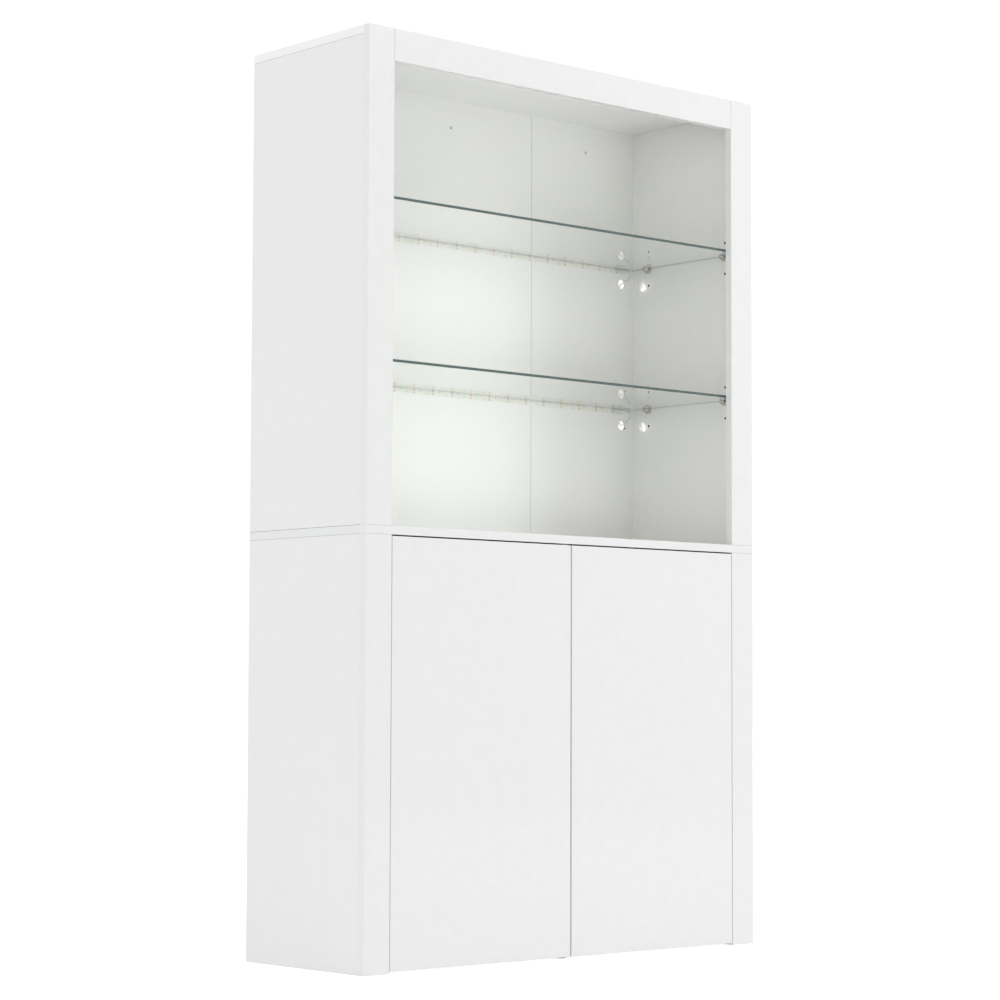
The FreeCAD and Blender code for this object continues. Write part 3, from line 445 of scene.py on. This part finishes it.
def paint_boards():
    gloss = surface("gloss_lacquer", (0.85, 0.855, 0.85), (0.865, 0.87, 0.865), (0.09, 0.14), 700.0,
                    0.00002, coat=0.6)
    satin = surface("satin_panel", (0.87, 0.875, 0.86), (0.88, 0.885, 0.87), (0.26, 0.34), 2200.0, 0.00004,
                    coat=0.1, stretch=(1.0, 1.0, 0.25))
    side = surface("side_panel", (0.88, 0.885, 0.868), (0.89, 0.895, 0.878), (0.16, 0.22), 1400.0, 0.00001,
                   coat=0.8, stretch=(1.0, 1.0, 0.4))
    back = surface("back_board", (0.885, 0.893, 0.862), (0.895, 0.903, 0.872), (0.26, 0.36), 2600.0,
                   0.00004, coat=0.1)
    # Hole walls: the brown of bare chipboard, made near black as painted shade of the deep holes.
    add_core_and_hole_shade(side, hole_walls, (0.05, 0.035, 0.02), (0.12, 0.085, 0.05), 900.0)
    add_core_and_hole_shade(back, back_reverse, (0.33, 0.23, 0.14), (0.42, 0.31, 0.20), 1400.0)
    paint(gloss, "upper_rail", "lower_top", *both("upper_post_%s"), *both("lower_post_%s"),
          *both("%s_door_panel"))
    paint(side, *both("upper_side_%s"), *both("lower_side_%s"))
    ceiling = surface("ceiling_panel", (0.955, 0.96, 0.94), (0.965, 0.97, 0.95), (0.26, 0.34), 1400.0,
                      0.00001, coat=0.2)
    paint(ceiling, "upper_top")
    paint(satin, "lower_bottom", "lower_partition", *both("hinge_batten_%s"), *both("cupboard_shelf_%s"))
    paint(back, "upper_back_centre", *both("upper_back_%s"), *both("lower_back_%s"))
    for name in ("glass_shelf_upper", "glass_shelf_lower"):
        paint(glass_material(name), name)
    paint(wood("pine_rail", PINE, (0.06, 1.0, 1.0)), "rear_rail")
    paint(wood("pine_strips", PINE, (1.0, 1.0, 0.06)), "back_joint_strips")
    paint(wood("beech", BEECH, (0.3, 0.3, 0.3)), "dowels")


def paint_fittings():
    nickel = surface("nickel", (0.50, 0.49, 0.45), (0.60, 0.59, 0.55), (0.22, 0.34), 1500.0, 0.00003,
                     metallic=1.0)
    zinc = surface("zinc", (0.60, 0.61, 0.60), (0.70, 0.71, 0.69), (0.30, 0.45), 1800.0, 0.00003,
                   metallic=1.0)
    steel = surface("pressed_steel", (0.62, 0.62, 0.61), (0.70, 0.70, 0.69), (0.16, 0.26), 800.0, 0.00002,
                    metallic=1.0)
    paint(nickel, "glass_shelf_supports", "cupboard_shelf_pegs")
    paint(zinc, "cam_locks", "cam_bolts", "top_panel_screws", "back_rail_screws", "small_screws",
          "back_panel_nails")
    paint(steel, "hinge_arms", "hinge_plates", *both("%s_hinge_cups"), *both("%s_hinge_links"),
          *both("%s_strike_plate"))
    paint(clear_plastic("clear_pad", (0.85, 0.87, 0.86), 0.7, (0.25, 0.4), 900.0), "support_pads")
    moulded = surface("moulded_white", (0.83, 0.83, 0.82), (0.86, 0.86, 0.85), (0.42, 0.55), 1600.0,
                      0.00006)
    paint(moulded, "lead_clips", "led_driver")
    black = surface("moulded_black", (0.018, 0.018, 0.019), (0.03, 0.03, 0.031), (0.45, 0.6), 1400.0,
                    0.00005)
    paint(black, "floor_glides", "driver_mains_inlet")
    grey = surface("latch_grey", (0.40, 0.41, 0.42), (0.46, 0.47, 0.48), (0.4, 0.5), 1500.0, 0.00004)
    paint(grey, "latch_housings", *both("%s_latch_plunger"))


def paint_lighting():
    paint(clear_plastic("clear_sleeve", (0.86, 0.92, 0.87), 0.2, (0.18, 0.3), 700.0), "led_strip_sleeves")
    tape = surface("led_tape", (0.80, 0.83, 0.76), (0.86, 0.88, 0.82), (0.35, 0.5), 1200.0, 0.00002)
    paint(tape, "led_strip_upper", "led_strip_lower")
    body = surface("led_body", (0.86, 0.86, 0.80), (0.90, 0.90, 0.85), (0.3, 0.4), 2400.0, 0.00001)
    paint(body, "led_chips")
    copper = surface("copper_pad", (0.66, 0.47, 0.31), (0.74, 0.56, 0.40), (0.25, 0.4), 2000.0, 0.00002,
                     metallic=0.2)
    paint(copper, "led_copper_pads")
    sheath = surface("lead_sheath", (0.84, 0.84, 0.82), (0.87, 0.87, 0.85), (0.35, 0.45), 1500.0, 0.00002)
    paint(sheath, "led_lead_upper", "led_lead_lower")


# Shapes of the fine pieces -------------------------------------------------------------------

def piece(name, mesh, material, smooth=True):
    """A shown piece that rides on the cabinet and gets the inside lights."""
    data = bpy.data.meshes.new(name)
    mesh.to_mesh(data)
    mesh.free()
    if smooth:
        data.shade_smooth()
    data.materials.append(material)
    shown = bpy.data.objects.new(name, data)
    bpy.context.scene.collection.objects.link(shown)
    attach(shown, "cabinet")
    for reach in inside_reaches:
        reach.objects.link(shown)
    return shown


def lathe(mesh, centre, along, across, profile, segments=16):
    """A closed turned form: rings of (distance along the axis, radius), capped at both ends."""
    along = Vector(along)
    across = Vector(across)
    third = along.cross(across)
    rings = []
    for distance, radius in profile:
        ring = []
        for index in range(segments):
            angle = math.tau * index / segments
            offset = (across * math.cos(angle) + third * math.sin(angle)) * radius
            ring.append(mesh.verts.new(Vector(centre) + along * distance + offset))
        rings.append(ring)
    for near, far in zip(rings, rings[1:]):
        for index in range(segments):
            following = (index + 1) % segments
            mesh.faces.new((near[index], near[following], far[following], far[index]))
    mesh.faces.new(list(reversed(rings[0])))
    mesh.faces.new(rings[-1])


def taper_shell(mesh, start, length, half_height, end_half_height, rings=7, segments=14):
    """A flattened, closed boot that narrows along +x."""
    loops = []
    for step in range(rings):
        share = step / (rings - 1)
        ease = share * share * (3 - 2 * share)
        height = half_height + (end_half_height - half_height) * ease
        depth = BOOT_HALF_DEPTH + BOOT_DEPTH_GAIN * ease
        loop = []
        for index in range(segments):
            angle = math.tau * index / segments
            loop.append(mesh.verts.new(start + Vector((length * share, depth * math.sin(angle),
                                                       height * math.cos(angle)))))
        loops.append(loop)
    for near, far in zip(loops, loops[1:]):
        for index in range(segments):
            following = (index + 1) % segments
            mesh.faces.new((near[index], far[index], far[following], near[following]))
    mesh.faces.new(loops[0])
    mesh.faces.new(list(reversed(loops[-1])))


def block(mesh, low, high):
    """An axis-aligned block between two corners."""
    size = Vector(high) - Vector(low)
    middle = (Vector(high) + Vector(low)) / 2
    placed = Matrix.Translation(middle) @ Matrix.Diagonal((*size, 1.0))
    bmesh.ops.create_cube(mesh, size=1.0, matrix=placed)


def bevelled(shown, width):
    bevel = shown.modifiers.new("edges", "BEVEL")
    bevel.width = width
    bevel.segments = 2


# LED tape ------------------------------------------------------------------------------------

PAD_PITCH = 0.050
CHIPS_PER_SEGMENT = 3
TAPE_JOINT_SEGMENT = 9
SEATED = 0.0001

LENS_PROFILE = ((0.0, 0.00115), (0.00014, 0.00112), (0.00022, 0.0008), (0.00026, 0.0003))
SOLDER_PROFILE = ((0.0, 0.0016), (0.0004, 0.0015), (0.0008, 0.001), (0.001, 0.0004))
SOLDER_RISE = 0.0027

RESISTORS = ((1, 0.0026), (2, -0.0026))
RESISTOR_HALF_LENGTH = 0.0008
RESISTOR_HALF_HEIGHT = 0.0006
RESISTOR_DEPTH = 0.0005
CAP_END = 0.0012
CAP_OVERLAP = 0.00002
RESISTOR_BEVEL = 0.0001


def strip_grid(name):
    """The tape's segment starts along x, its middle height and its front face."""
    low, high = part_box(name)
    count = round((high.x - low.x) / PAD_PITCH)
    return [low.x + PAD_PITCH * index for index in range(count)], (low.z + high.z) / 2, low.y


def add_resistor(bodies, caps, x, z, front_y):
    """A resistor body and its two end caps, on the tape's front face."""
    block(bodies, (x - RESISTOR_HALF_LENGTH, front_y - RESISTOR_DEPTH, z - RESISTOR_HALF_HEIGHT),
          (x + RESISTOR_HALF_LENGTH, front_y, z + RESISTOR_HALF_HEIGHT))
    cap_depth = RESISTOR_DEPTH + CAP_OVERLAP
    cap_half_height = RESISTOR_HALF_HEIGHT + CAP_OVERLAP
    for end in (-1, 1):
        near = x + end * RESISTOR_HALF_LENGTH
        far = x + end * CAP_END
        block(caps, (min(near, far), front_y - cap_depth, z - cap_half_height),
              (max(near, far), front_y, z + cap_half_height))


def make_led_details():
    phosphor = surface("phosphor", (0.84, 0.76, 0.42), (0.90, 0.83, 0.52), (0.2, 0.3), 3000.0, 0.00001)
    resistor = surface("resistor", (0.16, 0.15, 0.14), (0.24, 0.23, 0.21), (0.35, 0.5), 3000.0, 0.00001)
    solder = surface("solder", (0.66, 0.66, 0.63), (0.76, 0.76, 0.72), (0.18, 0.3), 2500.0, 0.00003,
                     metallic=1.0)
    chip_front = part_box("led_chips")[0].y
    pad_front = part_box("led_copper_pads")[0].y
    lenses, bodies, caps, joints = (bmesh.new() for _ in range(4))
    pitch = PAD_PITCH / CHIPS_PER_SEGMENT
    for name in ("led_strip_upper", "led_strip_lower"):
        starts, middle_z, front_y = strip_grid(name)
        for number, start in enumerate(starts):
            for index in range(CHIPS_PER_SEGMENT):
                lathe(lenses, (start + pitch * (index + 0.5), chip_front + SEATED, middle_z),
                      (0, -1, 0), (1, 0, 0), LENS_PROFILE)
            for index, rise in RESISTORS:
                add_resistor(bodies, caps, start + pitch * index, middle_z + rise, front_y)
            if number == TAPE_JOINT_SEGMENT:
                for rise in (-SOLDER_RISE, SOLDER_RISE):
                    lathe(joints, (start, pad_front + SEATED, middle_z + rise), (0, -1, 0), (1, 0, 0),
                          SOLDER_PROFILE)
    piece("led_phosphor", lenses, phosphor)
    bevelled(piece("led_resistors", bodies, resistor, False), RESISTOR_BEVEL)
    bevelled(piece("led_resistor_caps", caps, solder, False), RESISTOR_BEVEL)
    piece("led_solder", joints, solder)


# Leads ---------------------------------------------------------------------------------------

LEAD_RADIUS = 0.0012
LEAD_END_REACH = 0.002

RELIEF_RIBS = 5
RIB_PITCH = 0.0016
RIB_HEIGHT = 0.0014
RIB_TAPER = 0.0002
RIB_GROOVE = 0.0004
RELIEF_FOOT = (-0.001, LEAD_RADIUS + 0.0016)
RELIEF_TIP = LEAD_RADIUS + 0.0001

SLEEVE_LENGTH = 0.024
BOOT_LENGTHS = (("led_strip_upper", 0.012), ("led_strip_lower", 0.024))
BOOT_FROM_REAR = 0.0011
BOOT_HALF_HEIGHT = 0.0038
BOOT_END_HALF_HEIGHT = 0.0014
BOOT_HALF_DEPTH = 0.0010
BOOT_DEPTH_GAIN = 0.0003

SHRINK_TOP_X = 0.4765
SHRINK_TOP_DROP = 0.0155
SHRINK_LOW_X = 0.463
SHRINK_LOW_DROP = 0.0235
SHRINK_END_RADIUS = 0.0017
SHRINK_RADIUS = 0.0023
SHRINK_WIDEST = 0.0024

BEAD_PROFILE = ((0.0, 0.0005), (0.0004, 0.0013), (0.0012, 0.0017), (0.002, 0.0013), (0.0024, 0.0005))
UPPER_BEAD_BEFORE_SLEEVE = 0.002
LOWER_BEAD_RIGHT = 0.0325
LOWER_BEAD_DROP = 0.0305
LOWER_BEAD_FORWARD = 0.0004


def make_lead_reliefs():
    """Ribbed collars where the two leads enter the driver."""
    relief = surface("relief_rubber", (0.80, 0.80, 0.78), (0.84, 0.84, 0.82), (0.4, 0.55), 1500.0, 0.00004)
    low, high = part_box("led_driver")
    profile = [RELIEF_FOOT]
    for index in range(RELIEF_RIBS):
        radius = LEAD_RADIUS + RIB_HEIGHT - RIB_TAPER * index
        groove = radius - RIB_GROOVE
        profile += [(RIB_PITCH * index, radius), (RIB_PITCH * (index + 0.55), radius),
                    (RIB_PITCH * (index + 0.6), groove), (RIB_PITCH * (index + 0.95), groove)]
    profile.append((RIB_PITCH * RELIEF_RIBS, RELIEF_TIP))
    collars = bmesh.new()
    for lead, face_z, up in (("led_lead_upper", high.z, 1), ("led_lead_lower", low.z, -1)):
        ends = [vertex.co for vertex in nodes[lead].data.vertices
                if abs(vertex.co.z - face_z) < LEAD_END_REACH]
        centre = sum(ends, Vector()) / len(ends)
        lathe(collars, (centre.x, centre.y, face_z), (0, 0, up), (1, 0, 0), profile, 24)
    piece("lead_reliefs", collars, relief)


def make_lead_ends():
    """The soldered ends of the leads: a boot on each, the upper one's white sleeve, and two dark ends."""
    boot = clear_plastic("lead_boot", (0.90, 0.93, 0.90), 0.15, (0.2, 0.3), 900.0)
    white = surface("shrink_sleeve", (0.88, 0.89, 0.87), (0.92, 0.93, 0.91), (0.3, 0.4), 1200.0, 0.00003,
                    coat=0.3)
    dark = surface("core_ends", (0.02, 0.02, 0.02), (0.04, 0.04, 0.04), (0.4, 0.5), 1500.0, 0.00002)
    shells = bmesh.new()
    exits = {}
    for name, length in BOOT_LENGTHS:
        low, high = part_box(name)
        exits[name] = Vector((high.x + SLEEVE_LENGTH, high.y - BOOT_FROM_REAR, (low.z + high.z) / 2))
        taper_shell(shells, exits[name], length, BOOT_HALF_HEIGHT, BOOT_END_HALF_HEIGHT)
    piece("lead_boots", shells, boot)

    upper = exits["led_strip_upper"]
    top = Vector((SHRINK_TOP_X, upper.y, upper.z - SHRINK_TOP_DROP))
    bottom = Vector((SHRINK_LOW_X, upper.y, upper.z - SHRINK_LOW_DROP))
    sleeve_length = (bottom - top).length
    run = (bottom - top).normalized()
    sleeve = bmesh.new()
    profile = ((0.0, SHRINK_END_RADIUS), (0.0008, SHRINK_RADIUS), (0.004, SHRINK_WIDEST),
               (sleeve_length - 0.001, SHRINK_RADIUS), (sleeve_length, SHRINK_END_RADIUS))
    lathe(sleeve, top, run, (0, 1, 0), profile)
    piece("lead_shrink_sleeve", sleeve, white)

    beads = bmesh.new()
    lathe(beads, top - run * UPPER_BEAD_BEFORE_SLEEVE, run, (0, 1, 0), BEAD_PROFILE)
    lower_low, lower_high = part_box("led_strip_lower")
    below = Vector((lower_high.x + LOWER_BEAD_RIGHT, upper.y - LOWER_BEAD_FORWARD,
                    lower_low.z - LOWER_BEAD_DROP))
    lathe(beads, below, (0, -1, 0), (1, 0, 0), BEAD_PROFILE)
    piece("lead_core_ends", beads, dark)


# Joint lines, painted shade in the seams --------------------------------------------------------

LINE_RECESS = 0.00003
LINE_DEPTH = 0.0006
# Half widths of the lines.
SIDE_MODULE_LINE = 0.00024
SIDE_CUPBOARD_LINE = 0.00007
SIDE_TOP_LINE = 0.00005
POST_CUPBOARD_LINE = 0.0001
POST_MODULE_LINE = 0.00004
RAIL_LINE = 0.00012
BACK_LINE = 0.00019
# From the centre panel's edge to the middle of the line beside it.
BACK_LINE_BESIDE = 0.0002


def make_seam_shade():
    """Near-black sheets between the boards, set just below their rounded edges: painted shade for the dark
    hairlines of the seams.
    """
    # Painted shade: near-black blocks stand for the shade in the narrow gaps between the boards.
    shadow = surface("joint_shadow", (0.03, 0.03, 0.03), (0.06, 0.06, 0.055), (0.7, 0.9), 1500.0, 0.00002)
    seam_shade = bmesh.new()
    side_low, side_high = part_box("upper_side_right")
    post_low, post_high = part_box("upper_post_right")
    rail_low, rail_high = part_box("upper_rail")
    back_low, back_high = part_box("upper_back_centre")
    module_z = side_low.z
    cupboard_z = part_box("lower_top")[0].z
    side_lines = ((module_z, SIDE_MODULE_LINE), (cupboard_z, SIDE_CUPBOARD_LINE),
                  (side_high.z, SIDE_TOP_LINE))
    post_lines = ((cupboard_z, POST_CUPBOARD_LINE), (module_z, POST_MODULE_LINE))
    front = (post_low.y + LINE_RECESS, post_low.y + LINE_DEPTH)
    for side in (-1, 1):
        near, far = sorted((side * (side_high.x - LINE_RECESS), side * (side_high.x - LINE_DEPTH)))
        for z, half in side_lines:
            block(seam_shade, (near, side_low.y + LINE_DEPTH, z - half),
                  (far, side_high.y - LINE_DEPTH, z + half))
        near, far = sorted((side * (post_low.x + LINE_DEPTH), side * (post_high.x - LINE_DEPTH)))
        for z, half in post_lines:
            block(seam_shade, (near, front[0], z - half), (far, front[1], z + half))
        seam = side * rail_high.x
        block(seam_shade, (seam - RAIL_LINE, front[0], rail_low.z + LINE_DEPTH),
              (seam + RAIL_LINE, front[1], rail_high.z - LINE_DEPTH))
        seam = side * (back_high.x + BACK_LINE_BESIDE)
        block(seam_shade, (seam - BACK_LINE, back_low.y + LINE_RECESS, back_low.z + LINE_DEPTH),
              (seam + BACK_LINE, back_high.y - LINE_RECESS, back_high.z - LINE_DEPTH))
    piece("joint_seam_shade", seam_shade, shadow, False)


# Scene ---------------------------------------------------------------------------------------

make_camera()
make_world()
make_floor()
area_light(*KEY)
area_light(*FILL)
inside_reaches = light_inside()
light_right_side()
paint_boards()
paint_fittings()
paint_lighting()
make_led_details()
make_lead_reliefs()
make_lead_ends()
make_seam_shade()
